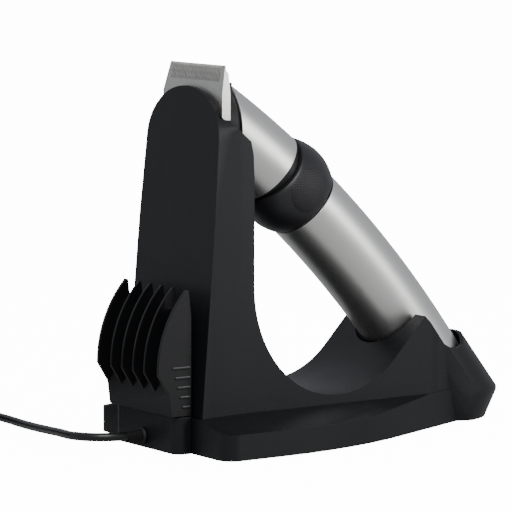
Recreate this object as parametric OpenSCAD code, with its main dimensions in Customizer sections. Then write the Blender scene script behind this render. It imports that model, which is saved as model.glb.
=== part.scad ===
// Bent hair clipper standing in its charging stand, with a guide comb and a mains lead.
// X runs from the comb at the back to the nose of the stand, Z is up, and the
// middle plane of the clipper is Y = 0. The floor is Z = 0.

/* [Clipper body] */
// Outer diameter of the steel body tube
tube_d = 35; // [32:0.5:37]
// Wall of the steel tube
tube_wall = 1; // [0.8:0.1:1.2]
// Radius of the bend that the middle line of the body follows
bend_r = 470; // [390:5:600]
// Length of the body along its middle line, from the end cap to the mouth
body_len = 162; // [135:1:175]
// Slope of the body at its lower end, from level
seat_dip = 55.5; // [53:0.5:58]
// Wall of the black inner body
core_wall = 1.8; // [1.5:0.1:2]

/* [Switch ring] */
// Distance from the end cap to the middle of the ring
ring_at = 121.5; // [100:0.5:123]
// Length of the ring along the body
ring_len = 22.4; // [20:0.2:26]
// How far the ring's belly stands out over the steel
ring_rise = 3; // [2:0.1:3.5]
// Length of the oval finger pad
pad_len = 17; // [14:0.5:19]

/* [Blade head] */
// Width of the blade across its body
blade_w = 46.4; // [42:0.2:46.8]
// Width of the row of teeth
teeth_w = 39.4; // [36:0.2:40]
// Number of teeth
teeth = 34; // [24:1:36]
// Height of the blade set
blade_h = 23.2; // [21:0.2:25]
// Thickness of the whole blade set
blade_t = 4.3; // [4.1:0.1:5]
// Distance from the mouth of the tube to the outer face of the blade
head_reach = 16.4; // [15.5:0.1:19]
// Height of the blade's edge over the middle of the mouth
head_rise = 30; // [29:0.5:32]

/* [Stand] */
// Height of the middle of the clipper's end over the floor
seat_z = 20; // [20:0.5:24]
// Gap between the steel tube and the socket
socket_gap = 2; // [1.9:0.1:2.4]
// Wall of the socket and of the nose
socket_wall = 2; // [1.8:0.1:2.6]
// Wall of the mouldings of the stand
wall = 2.5; // [2:0.1:2.8]
// Thickness of the arched back plate
plate_t = 1.8; // [1.5:0.1:2.2]
// Gap between the back plate and the blade
blade_gap = 1.7; // [1.5:0.1:2.5]
// Half width of the column at its back
column_half = 31; // [30:0.2:33]
// Half width of the body along the cradle
body_half = 27; // [26.8:0.2:28]
// Half width of the base
base_half = 52; // [48:0.5:56]
// Height of the outer wall of the base
base_h = 12; // [11:0.5:13]
// Height at which the ledge meets the body
ledge_z = 16.3; // [15.5:0.1:17]
// Lowest point of the cradle's curve over the floor
cradle_z = 20.2; // [19.8:0.2:22]

/* [Guide comb] */
// Width of the guide comb
comb_w = 50; // [48:0.5:51]
// Height of the comb's tips over its lower edge
comb_h = 54; // [48:0.5:60]
// Thickness of a comb tooth
fin_t = 1.2; // [1:0.1:1.6]
// Height of the block that the comb stands on
post_z = 17; // [16:0.2:18]
// Depth of the block
post_depth = 9.8; // [9:0.1:11]

/* [Mains lead] */
// Diameter of the lead
cord_d = 3.8; // [3.6:0.1:4]
// Number of turns side by side in the coil
coil_columns = 3; // [2:1:3]
// Number of layers in the coil
coil_layers = 4; // [3:1:4]
// Width of the mains adapter
adapter_w = 44; // [40:1:48]

/* [Hidden] */

$fn = 96;
slip = 0.06;
tube_r = tube_d / 2;
core_r = tube_r - tube_wall - slip;
core_in = core_r - core_wall;

// The bend: the mouth of the tube stands over X = mouth_x, the end cap at seat_z
mouth_x = 40.5;
rim_cut = 2.1;
phi_seat = 90 - seat_dip;
deg_per_mm = 180 / (PI * bend_r);
phi_mouth = phi_seat + body_len * deg_per_mm;
phi_ring = phi_seat + ring_at * deg_per_mm;
arc_x = mouth_x - bend_r * cos(phi_mouth);
arc_z = seat_z - bend_r * sin(phi_seat);
seat_x = arc_x + bend_r * cos(phi_seat);
mouth_z = arc_z + bend_r * sin(phi_mouth);

// Head
blade_x = mouth_x - head_reach;
blade_top = mouth_z + head_rise;
blade_bottom = blade_top - blade_h;
bevel_z = blade_top - 12.3;
bevel_in = 2.8;
plate_leaf = 2.2;
cutter_t = 1.75;
tooth_pitch = teeth_w / teeth;
tooth_slot = tooth_pitch * 0.42;
tooth_depth = 7;
cutter_travel = 0.9;

// Column: the back plate leans with the height
lean = 0.0845;
column_front = mouth_x - 2.4;
column_top = mouth_z + 20.6;
foot_x = blade_x - blade_gap - plate_t - lean * (bevel_z - ledge_z);
pocket_half = blade_w / 2 + 1.2;
pocket_z = mouth_z - 23.5;
cheek_z = mouth_z + 8;
arch_z = mouth_z - 2.2;
arch_half = column_half - 2.5;
floor_gap = 0.8;
cover_t = 1.8;
cover_top = floor_gap + cover_t + 0.2;

// Cradle curve and nose
ear_x = seat_x - 24;
ear_z = seat_z + 31.2;
ear_slope = 46.7;
ear_bend_r = 42.6;
ear_run = (ear_z - cradle_z - ear_bend_r * (1 - cos(ear_slope))) / sin(ear_slope);
cradle_x = ear_x - ear_bend_r * sin(ear_slope) - ear_run * cos(ear_slope);
cradle_rise = 50;
nose_dip = 52;
nose_back = 8;
nose_r = tube_r + socket_gap + socket_wall;
socket_r = tube_r + socket_gap;
pin_gap = 9;
phi_socket = phi_seat + 2;
lip_z = seat_z + 12.7;
lip_axis_x = seat_x - 9.6;
lip_x = lip_axis_x + nose_r / sin(nose_dip);
nose_z = 12.5;
lip_top_z = lip_z + 7;
lip_top_x = lip_x - 7 / tan(nose_dip);
nose_x = lip_x + (lip_z - nose_z - 2.5) / tan(nose_dip) + 0.8;

// Base
transom_x = foot_x - 1.8;
boat_x = 38;
boat_r = 175;
boat_end = seat_x;
boat_corner = 7;
skirt_wall = 2.4;
boss_back = [foot_x + 15, body_half - 3.5];
boss_front = [seat_x - 33, body_half - 5];
boss_r = 3.5;
screw_r = 1.5;
foot_r = 5.5;

// Comb and its block
post_x = foot_x - post_depth;
comb_front = foot_x - 1.8;
comb_half = comb_w / 2;
comb_low = post_z + 0.3;
comb_tip_x = post_x + 5.6;
comb_corner_x = post_x - 8.7;
comb_corner_z = comb_low + 18.4;
comb_tip_z = comb_low + comb_h;
comb_bow = comb_tip_z - comb_corner_z;
comb_run = comb_tip_x - comb_corner_x;
comb_arc_r = (comb_bow * comb_bow + comb_run * comb_run) / (2 * comb_run);
plate_wall = 1.6;
bar_pitch = 4.2;

// Lead: hand-laid route of the visible stretch, from the block to the coil
lead_y = 1;
lead_z = 6;
grommet_len = 8;
cord_r = cord_d / 2;
coil_mean = 11 * cord_d;
coil_in = (coil_mean - coil_columns * cord_d) / 2;
coil_out = coil_in + coil_columns * cord_d;
coil_h = coil_layers * cord_d;
coil_at = [-57, 136];
tie_y = coil_at[1] + coil_mean / 2;
cord_route = [[-8.6, 1, 6.5], [-13.8, 1.6, 6.5], [-18.3, 3.5, 6.5], [-22, 6.6, 6.4],
    [-24.6, 10.7, 6.3], [-25.9, 15.4, 6.1], [-25.9, 19.1, 5.8], [-23.9, 32, 5.1], [-21.8, 44, 4.2],
    [-19.6, 56, 3.3], [-17.4, 68, 2.5], [-15.6, 80, 2], [-14.6, 91, 1.9], [-14.2, 102, 1.9],
    [-14.8, 111, 1.9], [-17, 120, 1.9], [-20.9, 128, 1.9], [-25.2, 134.5, 1.9], [-29.6, 139.8, 1.9]];
tie_lip = 1.4;
adapter_at = [coil_at[0] - 8, coil_at[1], coil_h + tie_lip];
adapter_len = 62;
adapter_h = 30;

// The model stands with the middle of its own box, without the lead, over the origin
mid_x = (nose_x + comb_corner_x) / 2;

function arc_points(cx, cy, r, from, to, n) =
    [for (i = [0:n]) let (a = from + (to - from) * i / n) [cx + r * cos(a), cy + r * sin(a)]];
function oval_points(cx, cy, rx, ry, from, to, n) =
    [for (i = [0:n]) let (a = from + (to - from) * i / n) [cx + rx * cos(a), cy + ry * sin(a)]];
function back_x(z) = foot_x + lean * (z - ledge_z);
function both_sides(half) = concat(half, [for (i = [len(half) - 1:-1:0]) [half[i][0], -half[i][1]]]);

// Cradle curve, from the column down, along the floor and up to the ear; g thickens the wall
function cradle_points(g) = concat(
    oval_points(cradle_x, cradle_z + cradle_rise, cradle_x - column_front + g, cradle_rise + g, 180, 270, 16),
    [for (i = [1:10]) let (a = ear_slope * i / 10)
        [cradle_x + (ear_bend_r + g) * sin(a), cradle_z + ear_bend_r - (ear_bend_r + g) * cos(a)]]);

module along_y(half) { rotate([90, 0, 0]) translate([0, 0, -half]) linear_extrude(2 * half) children(); }
module along_x(from, to) { translate([from, 0, 0]) rotate([90, 0, 90]) linear_extrude(to - from) children(); }
module from_z(low, high) { translate([0, 0, low]) linear_extrude(high - low) children(); }

// Puts a piece on the bend: its Z runs along the body towards the head, its X outwards
module on_bend(phi) {
    translate([arc_x + bend_r * cos(phi), 0, arc_z + bend_r * sin(phi)]) rotate([0, -phi, 0]) children();
}
module at_length(s) { on_bend(phi_seat + s * deg_per_mm) children(); }

// A bent round bar or tube between two lengths along the body
module bent_tube(from, to, r, hole = 0) {
    translate([arc_x, 0, arc_z]) rotate([90, 0, 0]) rotate([0, 0, phi_seat + from * deg_per_mm])
        rotate_extrude(angle = (to - from) * deg_per_mm, $fn = 96) translate([bend_r, 0]) difference() {
            circle(r);
            if (hole > 0) circle(hole);
        }
}

module pipe(h, r, hole) {
    difference() {
        cylinder(h = h, r = r);
        translate([0, 0, -1]) cylinder(h = h + 2, r = hole);
    }
}

// ---- stand ----

module side_outline() {
    polygon(concat(
        [[back_x(floor_gap), floor_gap], [back_x(column_top), column_top],
            [back_x(column_top) + plate_t, column_top], [back_x(cheek_z) + plate_t, cheek_z],
            [back_x(cheek_z) + plate_t + 4.2, cheek_z - 1.2], [column_front - 1.6, cheek_z - 10.4],
            [column_front - 0.4, cheek_z - 16], [column_front, cheek_z - 26]],
        cradle_points(0),
        [[ear_x, ear_z], [ear_x + 14.4, ear_z - 14.2], [ear_x + 19, ear_z - 16.4],
            [ear_x + 23.5, ear_z - 16.9],
            [ear_x + 28, ear_z - 16], [lip_top_x - 5.4, lip_top_z - 2], [lip_top_x - 2.6, lip_top_z],
            [lip_top_x, lip_top_z], [lip_x, lip_z], [nose_x - 2.6, nose_z + 5], [nose_x - 0.7, nose_z + 2.2],
            [nose_x, nose_z], [nose_x - 1, nose_z - 3], [nose_x - 5, nose_z - 8.5],
            [nose_x - 8, floor_gap]]));
}

module cavity_outline() {
    polygon(concat(
        [[back_x(-1) + wall, -1], [back_x(pocket_z - wall) + wall, pocket_z - wall],
            [column_front - wall, pocket_z - wall]],
        cradle_points(wall),
        [[seat_x - 15, lip_z - wall], [lip_x - 2 * wall, lip_z - wall], [nose_x - 2 * wall, nose_z],
            [nose_x - 6 - 2 * wall, -1]]));
}

module plan_outline(g) {
    polygon(both_sides([[foot_x - 5 + g, column_half - g], [foot_x + 6, column_half - 0.8 - g],
        [column_front - 5, body_half - g], [ear_x + 3, body_half - g], [ear_x + 10, body_half - 3 - g],
        [seat_x, 18.2 - g], [seat_x + 11, 15 - g], [seat_x + 22, 9.5 - g], [seat_x + 30, 3.5 - g]]));
}

// The round nose keeps inside this outline, seen from above
module nose_plan(g) {
    polygon(oval_points(nose_x - nose_r / sin(nose_dip), 0, nose_r / sin(nose_dip) - g, nose_r - g,
        -90, 90, 24));
    polygon(both_sides([[ear_x, nose_r - g], [nose_x - nose_r / sin(nose_dip), nose_r - g]]));
}

// The round nose, which draws back under its widest point
module nose_form(g) {
    intersection() {
        nose_bar(g);
        union() {
            from_z(nose_z - 0.1, column_top) nose_plan(g);
            hull() {
                from_z(nose_z - 0.2, nose_z - 0.1) nose_plan(g);
                from_z(-2, -1.9) translate([-nose_back, 0]) nose_plan(g);
            }
        }
    }
}

// Seen from the side, the body's flanks run out into the nose below this line
module flank_outline() {
    polygon([[foot_x - 20, -5], [foot_x - 20, column_top + 5], [seat_x - 5, column_top + 5],
        [seat_x - 5, lip_z + 12], [seat_x, lip_z + 5.6], [seat_x + 11, lip_z - 2],
        [seat_x + 22, lip_z - 10], [nose_x + 1, lip_z - 18],
        [nose_x + 1, -5]]);
}

module front_outline(g) {
    polygon(concat([[-column_half + g, -2], [column_half - g, -2], [column_half - g, arch_z - 55]],
        oval_points(0, arch_z, arch_half - g, column_top - arch_z - g, 0, 180, 32),
        [[-column_half + g, arch_z - 55]]));
}

module nose_bar(g) {
    translate([lip_axis_x, 0, lip_z]) rotate([0, nose_dip - 90, 0])
        translate([0, 0, -60]) cylinder(h = 110, r = nose_r - g);
}

module socket_bar(r, low, high) {
    on_bend(phi_socket) translate([0, 0, low]) cylinder(h = high - low, r = r);
}

module stand_form(g) {
    intersection() {
        union() {
            intersection() {
                from_z(-2, column_top + 2) plan_outline(g);
                along_y(60) flank_outline();
            }
            nose_form(g);
        }
        along_x(-30, 220) front_outline(g);
        along_y(40) children();
    }
}

module bosses() {
    for (at = [boss_back, boss_front], side = [-1, 1])
        translate([at[0], side * at[1], cover_top]) cylinder(h = 12, r = boss_r, $fn = 32);
}

module boss_holes(r, low, high) {
    for (at = [boss_back, boss_front], side = [-1, 1])
        translate([at[0], side * at[1], low]) cylinder(h = high - low, r = r, $fn = 32);
}

module lead_hole() {
    translate([post_x - 1, lead_y, lead_z]) rotate([0, 90, 0]) cylinder(h = 30, r = cord_r + 0.4, $fn = 32);
}

module pin_holes(r, low, high) {
    at_length(0) for (side = [-1, 1]) translate([0, side * pin_gap / 2, low])
        cylinder(h = high - low, r = r, $fn = 32);
}

module stand_shell() {
    color("#25282c") difference() {
        stand_form(0) side_outline();
        difference() {
            stand_form(wall) cavity_outline();
            socket_bar(socket_r + 2.2, -27, 40);
            bosses();
        }
        socket_bar(socket_r, -23.6, 60);
        along_y(pocket_half) polygon([[back_x(pocket_z) + plate_t + 2, pocket_z],
            [back_x(pocket_z + 12) + plate_t, pocket_z + 12],
            [back_x(column_top + 5) + plate_t, column_top + 5],
            [column_front + 5, column_top + 5], [column_front + 5, pocket_z]]);
        boss_holes(screw_r + 0.05, 0, cover_top + 9);
        translate([foot_x - 20, -60, -1]) cube([boat_end - foot_x + 19, 120, cover_top + 1]);
        lead_hole();
        pin_holes(2.3, -14, -6);
    }
}

module boat_outline(g) {
    polygon(both_sides(concat(
        [[transom_x + g, 0]],
        arc_points(transom_x + boat_corner, base_half - boat_corner, boat_corner - g, 180, 90, 6),
        [for (a = [0:4:28]) [boat_x + (boat_r - g) * sin(a), base_half - boat_r + (boat_r - g) * cos(a)]],
        [[boat_end - g, 18.3 - g]])));
}

// The ledge's inner edge, along the body's flanks
module ledge_outline(proud, back) {
    intersection() {
        plan_outline(-proud);
        translate([transom_x + back, -50]) square([boat_end - transom_x - back, 100]);
    }
}

module base_skirt() {
    color("#24282b") difference() {
        hull() {
            from_z(floor_gap, base_h) boat_outline(0);
            from_z(ledge_z - 0.1, ledge_z) ledge_outline(0.3, 0);
            from_z(floor_gap, ledge_z - 2.4) intersection() {
                boat_outline(0);
                translate([boat_end - 12, -50]) square([20, 100]);
            }
        }
        hull() {
            from_z(-1, base_h - 2.2) boat_outline(skirt_wall);
            from_z(ledge_z - 2.4, ledge_z - 2.3) ledge_outline(0, skirt_wall);
        }
        from_z(-1, ledge_z + 1) intersection() {
            plan_outline(-slip);
            translate([foot_x - 1.4, -50]) square([200, 100]);
        }
        nose_form(-slip);
        lead_hole();
    }
}

module base_cover() {
    color("#1f2022") difference() {
        from_z(floor_gap, floor_gap + cover_t) union() {
            boat_outline(skirt_wall + 0.2);
            intersection() {
                polygon(both_sides([[boat_end - 20, 14.8], [seat_x, 14.8], [seat_x + 10, 11.5],
                    [seat_x + 19, 6], [seat_x + 21, 1]]));
                square([400, 200], center = true);
            }
        }
        boss_holes(screw_r + 0.2, 0, 5);
    }
}

module comb_post() {
    color("#232528") difference() {
        union() {
            from_z(floor_gap, post_z) hull() {
                for (side = [-1, 1]) {
                    translate([post_x + 5, side * (comb_half - 4.8)]) circle(5, $fn = 48);
                    translate([transom_x - slip - 1, side * (comb_half - 0.8)]) square([2, 2], center = true);
                }
            }
            translate([post_x + 4, -19, post_z - 1]) cube([4, 38, 17]);
        }
        lead_hole();
        translate([transom_x - slip, -60, -1]) cube([30, 120, post_z]);
    }
}

module neck_saddle() {
    color("#161618") difference() {
        intersection() {
            along_y(pocket_half - 0.1) polygon([[back_x(pocket_z) + plate_t + 2.2, pocket_z + 0.1],
                [back_x(pocket_z + 12) + plate_t + 0.2, pocket_z + 12.2], [blade_x - 0.5, blade_bottom - 0.6],
                [blade_x + 6, blade_bottom - 0.6], [column_front - 0.4, mouth_z - 6],
                [column_front - 0.4, pocket_z + 0.1]]);
            along_x(0, 60) front_outline(wall);
        }
        translate([mouth_x, 0, mouth_z]) rotate([0, -phi_mouth, 0]) translate([0, 0, -20])
            cylinder(h = 50, r = tube_r + 0.4);
        translate([blade_x - 2, -30, mouth_z]) cube([40, 60, 30]);
        translate([blade_x - 0.9, -19, mouth_z - 16]) cube([6, 38, 30]);
    }
}

module contact_block() {
    color("#141414") difference() {
        socket_bar(socket_r - 0.35, -23.5, -18.6);
        pin_holes(1.28, -8, 2);
    }
}

module contact_pins() {
    color("#c9a24a") at_length(0) for (side = [-1, 1]) translate([0, side * pin_gap / 2, -9.5]) {
        cylinder(h = 9.3, r = 1.2, $fn = 32);
        cylinder(h = 1, r = 2.1, $fn = 32);
    }
}

module charge_board() {
    color("#1f5a35") translate([cradle_x - 22, -16, cover_top + 6.2]) {
        cube([40, 32, 1.6]);
        translate([6, 6, 1.5]) cube([9, 7, 2.2]);
        translate([24, 18, 1.5]) cube([6, 6, 3]);
        translate([30, 9, 1.5]) cylinder(h = 4, r = 3, $fn = 32);
    }
}

module base_weight() {
    color("#77797b") translate([cradle_x - 26, -(body_half - 5), cover_top + 0.1])
        cube([60, 2 * (body_half - 5), 6]);
}

module cover_screws() {
    color("#9a9a9a") for (at = [boss_back, boss_front], side = [-1, 1])
        translate([at[0], side * at[1], 0]) {
            translate([0, 0, floor_gap - 0.3]) cylinder(h = 10, r = screw_r, $fn = 32);
            translate([0, 0, 0.3]) cylinder(h = floor_gap - 0.3, r = 2.8, $fn = 32);
        }
}

module rubber_feet() {
    color("#101010") {
        for (side = [-1, 1]) {
            translate([foot_x + 12, side * (base_half - 12), 0])
                cylinder(h = floor_gap, r = foot_r, $fn = 48);
            translate([seat_x - 42, side * (body_half - 12), 0])
                cylinder(h = floor_gap, r = foot_r, $fn = 48);
        }
        translate([nose_x - 26, 0, 0]) cylinder(h = floor_gap, r = foot_r, $fn = 48);
    }
}

// ---- mains lead ----

module lead_grommet() {
    color("#0c0c0c") difference() {
        translate([post_x, lead_y, lead_z]) rotate([0, -90, 0]) {
            translate([0, 0, -4]) cylinder(h = 4, r = cord_r + 0.35, $fn = 48);
            cylinder(h = 1.6, r = 3.7, $fn = 48);
            translate([0, 0, 1.6]) cylinder(h = grommet_len - 1.6, r1 = 3.1, r2 = 2.4, $fn = 48);
        }
        translate([post_x - grommet_len - 1, lead_y, lead_z]) rotate([0, 90, 0])
            cylinder(h = 20, r = cord_r - 0.4, $fn = 32);
    }
}

module inner_lead() {
    board_x = cradle_x - 24;
    color("#181818") {
        translate([post_x - grommet_len + 1, lead_y, lead_z]) rotate([0, 90, 0])
            cylinder(h = board_x - post_x + grommet_len - 6, r = cord_r - 0.5, $fn = 32);
        translate([board_x - 5, lead_y, lead_z]) sphere(cord_r - 0.5, $fn = 32);
        translate([board_x - 5, lead_y, lead_z])
            cylinder(h = cover_top + 10 - lead_z, r = cord_r - 0.5, $fn = 32);
        translate([board_x - 5, lead_y, cover_top + 10]) rotate([0, 90, 0])
            cylinder(h = 12, r = cord_r - 0.5, $fn = 32);
        translate([board_x - 5, lead_y, cover_top + 10]) sphere(cord_r - 0.5, $fn = 32);
    }
}

// Smooth curve through the route's points, and a tube with rings square to it
function spline(p, i, t) =
    let (a = p[max(i - 1, 0)], b = p[i], c = p[i + 1], d = p[min(i + 2, len(p) - 1)])
    0.5 * ((2 * b) + (c - a) * t + (2 * a - 5 * b + 4 * c - d) * t * t + (3 * b - a - 3 * c + d) * t * t * t);
function route_points(p, n) = concat(
    [for (i = [0:len(p) - 2], k = [0:n - 1]) spline(p, i, k / n)], [p[len(p) - 1]]);
function unit(v) = v / norm(v);
module swept_tube(p, r, sides) {
    last = len(p) - 1;
    rings = [for (i = [0:last]) let (
        t = unit(p[min(i + 1, last)] - p[max(i - 1, 0)]),
        u = unit(cross([0, 0, 1], t)),
        v = cross(t, u))
        for (k = [0:sides - 1]) let (a = 360 * (k + 0.5) / sides) p[i] + r * (u * cos(a) + v * sin(a))];
    polyhedron(rings, concat(
        [[for (k = [0:sides - 1]) k]],
        [for (i = [0:last - 1], k = [0:sides - 1]) let (m = (k + 1) % sides)
            [i * sides + k, (i + 1) * sides + k, (i + 1) * sides + m, i * sides + m]],
        [[for (k = [sides - 1:-1:0]) last * sides + k]]));
}

module cord() { color("#161719") swept_tube(route_points(cord_route, 2), cord_r, 8); }

module cord_coil() {
    color("#161719") translate([coil_at[0], coil_at[1], 0]) rotate_extrude()
        translate([coil_in, 0]) square([coil_out - coil_in, coil_h]);
}

module cord_tie() {
    color("#0f0f0f")
    translate([coil_at[0] - 4, tie_y - coil_columns * cord_d / 2 - tie_lip, 0]) difference() {
        cube([8, coil_columns * cord_d + 2 * tie_lip, coil_h + tie_lip]);
        translate([-1, 0.8, -1]) cube([10, coil_columns * cord_d + 0.7, coil_h + 1.1]);
    }
}

module rounded_box(w, d, h, r) {
    linear_extrude(h) hull() for (x = [-1, 1], y = [-1, 1])
        translate([x * (w / 2 - r), y * (d / 2 - r)]) circle(r, $fn = 32);
}

module adapter_body() {
    color("#17181a") translate(adapter_at) difference() {
        rounded_box(adapter_len, adapter_w, adapter_h - 6, 6);
        translate([0, 0, 2]) rounded_box(adapter_len - 5, adapter_w - 5, adapter_h, 4);
    }
}

module adapter_cover() {
    color("#1b1c1e") translate(adapter_at) {
        translate([0, 0, adapter_h - 6]) rounded_box(adapter_len, adapter_w, 6, 6);
        translate([0, 0, adapter_h - 9]) rounded_box(adapter_len - 5.4, adapter_w - 5.4, 3.1, 4);
    }
}

module adapter_pins() {
    color("#c0c0c0") for (side = [-1, 1])
        translate([adapter_at[0] - adapter_len / 2 - 19, adapter_at[1] + side * 9.3,
            adapter_at[2] + adapter_h / 2 - 1])
            rotate([0, 90, 0]) cylinder(h = 19, r = 2, $fn = 48);
}

// ---- clipper body ----

ring_low = ring_at - ring_len / 2;
ring_high = ring_at + ring_len / 2;
// The body bends and the ring is straight, so its ends need this much room
ring_clear = 0.8;
groove = 1.8;

module lower_sleeve() {
    color("#a9a8a2") bent_tube(4, ring_low - ring_clear, tube_r, tube_r - tube_wall);
}

module upper_sleeve() {
    color("#a9a8a2") intersection() {
        bent_tube(ring_high + groove, body_len + 30, tube_r, tube_r - tube_wall);
        translate([mouth_x - rim_cut, -50, 0]) cube([200, 100, 300]);
    }
}

hub_r = core_r - 0.4;
module core_tube() {
    color("#1c1c1e") {
        bent_tube(4, ring_low - ring_clear, core_r, core_in);
        bent_tube(ring_high + ring_clear, body_len - 2, core_r, core_in);
        on_bend(phi_ring) translate([0, 0, -ring_len / 2 - 1.5]) pipe(ring_len + 3, hub_r, core_in);
    }
}

module groove_ring() {
    color("#0c0c0c")
    bent_tube(ring_high + ring_clear, ring_high + groove - 0.05, tube_r - 0.6, core_r + slip);
}

seal_z = 5;
module end_cap() {
    color("#141416") at_length(0) difference() {
        union() {
            cylinder(h = 3.9, r = tube_r - 0.1);
            cylinder(h = 8, r = core_in - 0.25);
        }
        translate([0, 0, 2.5]) cylinder(h = 10, r = core_in - 2.4);
        translate([0, 0, seal_z]) pipe(1.2, core_in, core_in - 1.1);
        for (side = [-1, 1]) translate([-2.1, side * pin_gap / 2 - 2.1, -1]) cube([4.2, 4.2, 2.2]);
    }
}

module end_contacts() {
    color("#c9a24a") at_length(0) for (side = [-1, 1])
        translate([-2, side * pin_gap / 2 - 2, 0]) cube([4, 4, 1.2]);
}

module end_seal() {
    color("#0d0d0d") at_length(0) translate([0, 0, seal_z + 0.05]) pipe(1.1, core_in - 0.1, core_in - 1.05);
}

module battery_cells() {
    color("#6d8f4e") at_length(45) for (side = [-1, 1]) translate([-1, side * 6.9, -25]) {
        cylinder(h = 49, r = 6.85, $fn = 64);
        translate([0, 0, 48.9]) cylinder(h = 1.2, r = 2.6, $fn = 32);
    }
}

module main_board() {
    color("#1f5a35") at_length(47) {
        translate([8, -9.5, -28]) cube([1.4, 19, 56]);
        translate([9.3, -4, -16]) cube([1.6, 8, 8]);
        translate([9.3, -6, 6]) cube([2, 5, 9]);
    }
}

motor_at = 118;
motor_r = 12;
module motor() {
    color("#8b8d90") at_length(motor_at) translate([0, 0, -15]) difference() {
        union() {
            cylinder(h = 30, r = motor_r);
            translate([0, 0, 29.9]) cylinder(h = 2.1, r = 4, $fn = 32);
        }
        translate([0, 0, 4]) cylinder(h = 40, r = 1.58, $fn = 32);
    }
}

module motor_bracket() {
    color("#28292b") at_length(motor_at) translate([0, 0, 10]) difference() {
        cylinder(h = 8, r = core_in - 0.35);
        translate([0, 0, -1]) cylinder(h = 6.1, r = motor_r + slip);
        translate([0, 0, -1]) cylinder(h = 20, r = 4.2, $fn = 48);
    }
}

// The shaft runs straight on from the motor to the head
shaft_len = body_len - motor_at - 2;
module motor_shaft() {
    color("#b9bbbd") at_length(motor_at)
        translate([0, 0, -10]) cylinder(h = shaft_len + 10, r = 1.5, $fn = 48);
}

pin_throw = 0.9;
module eccentric() {
    color("#d8d5cc") at_length(motor_at) {
        difference() {
            translate([0, 0, shaft_len - 7]) cylinder(h = 8, r = 4, $fn = 48);
            translate([0, 0, shaft_len - 8]) cylinder(h = 8 + slip, r = 1.52, $fn = 48);
        }
        translate([0, pin_throw, shaft_len + 0.9]) cylinder(h = 8.5, r = 1, $fn = 32);
        translate([0, 2.4, shaft_len + 0.9]) cylinder(h = 1.2, r = 0.8, $fn = 32);
    }
}

// ---- blade head ----

module head_axis(low, high, r) {
    translate([mouth_x, 0, mouth_z]) rotate([0, -phi_mouth, 0]) translate([0, 0, low])
        cylinder(h = high - low, r = r);
}

head_face = blade_x + blade_t + 0.2;
module head_frame() {
    color("#151517") difference() {
        intersection() {
            union() {
                head_axis(-1.5, 40, tube_r - tube_wall - 0.3);
                translate([head_face, -blade_w / 2 + 3, blade_bottom + 2])
                    cube([2.6, blade_w - 6, blade_h - 9.5]);
            }
            translate([head_face, -50, mouth_z - 26]) cube([30, 100, blade_top - 7.5 - mouth_z + 26]);
        }
        head_axis(-20, 60, 9.5);
        translate([head_face - 1, -7, blade_bottom + 4]) cube([5, 14, 9]);
        for (side = [-1, 1]) translate([head_face - 1, side * 15, blade_bottom + 4.5]) rotate([0, 90, 0])
            cylinder(h = 6, r = 1.05, $fn = 32);
    }
}

module blade_slots(x0, x1, edge_z, depth) {
    for (i = [1:teeth - 1]) translate([x0, -teeth_w / 2 + i * tooth_pitch - tooth_slot / 2, edge_z - depth])
        cube([x1 - x0, tooth_slot, depth + 1]);
}

module fixed_blade() {
    color("#b4b4ac") difference() {
        intersection() {
            union() {
                along_y(30) polygon([[blade_x, blade_bottom], [blade_x, bevel_z],
                    [blade_x + bevel_in, blade_top], [blade_x + bevel_in + 0.5, blade_top],
                    [blade_x + plate_leaf + 0.2, bevel_z + 2], [blade_x + plate_leaf, blade_bottom]]);
                difference() {
                    along_y(30) polygon([[blade_x + 0.5, blade_bottom], [blade_x + 0.5, bevel_z],
                        [blade_x + bevel_in, blade_top - 1.5], [blade_x + blade_t, blade_top - 3.5],
                        [blade_x + blade_t, blade_bottom]]);
                    along_y(teeth_w / 2 + 0.9 + cutter_travel) square([100, 300]);
                }
            }
            along_x(0, 60) polygon([[-blade_w / 2, 0], [blade_w / 2, 0], [blade_w / 2, bevel_z],
                [teeth_w / 2 + 1.6, blade_top + 0.1], [-teeth_w / 2 - 1.6, blade_top + 0.1],
                [-blade_w / 2, bevel_z]]);
        }
        blade_slots(blade_x - 1, blade_x + 6, blade_top, tooth_depth);
        for (side = [-1, 1]) translate([blade_x - 1, side * 15, blade_bottom + 4.5]) rotate([0, 90, 0])
            cylinder(h = 8, r = 1.3, $fn = 32);
    }
}

module moving_blade() {
    cut_x = blade_x + plate_leaf + 0.25;
    color("#9c9c97") difference() {
        along_y(teeth_w / 2 + 0.6 - cutter_travel) polygon([[cut_x, blade_bottom + 8], [cut_x, bevel_z + 1.6],
            [cut_x + 0.55, bevel_z + 6], [blade_x + bevel_in + 0.55, blade_top - 1.2],
            [blade_x + bevel_in + 0.9, blade_top - 1.2], [cut_x + cutter_t, blade_top - 7],
            [cut_x + cutter_t, blade_bottom + 8]]);
        blade_slots(blade_x, blade_x + 8, blade_top - 1.2, tooth_depth - 1);
    }
}

// The yoke's two prongs stand at the sides of the eccentric's pin
fork_gap = 3.2;
module cutter_yoke() {
    yoke_x = blade_x + plate_leaf + 0.25 + cutter_t;
    color("#d8d5cc") {
        translate([yoke_x, -5.5, blade_bottom + 9.5]) cube([4, 11, 3]);
        for (side = [-1, 1]) translate([0, side * (fork_gap + 0.7), 0]) along_y(0.7) polygon(
            [[yoke_x, blade_bottom + 5], [yoke_x, blade_bottom + 12], [yoke_x + 4, blade_bottom + 9],
                [mouth_x - 3, mouth_z + 7], [mouth_x - 4.5, mouth_z + 3], [yoke_x + 2, blade_bottom + 5]]);
    }
}

module blade_screws() {
    color("#8d8e90") for (side = [-1, 1])
        translate([blade_x + 0.3, side * 15, blade_bottom + 4.5]) rotate([0, 90, 0]) {
            cylinder(h = 6.4, r = 1, $fn = 32);
            translate([0, 0, plate_leaf - 0.16]) cylinder(h = 1.2, r = 2.4, $fn = 32);
        }
}

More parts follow.
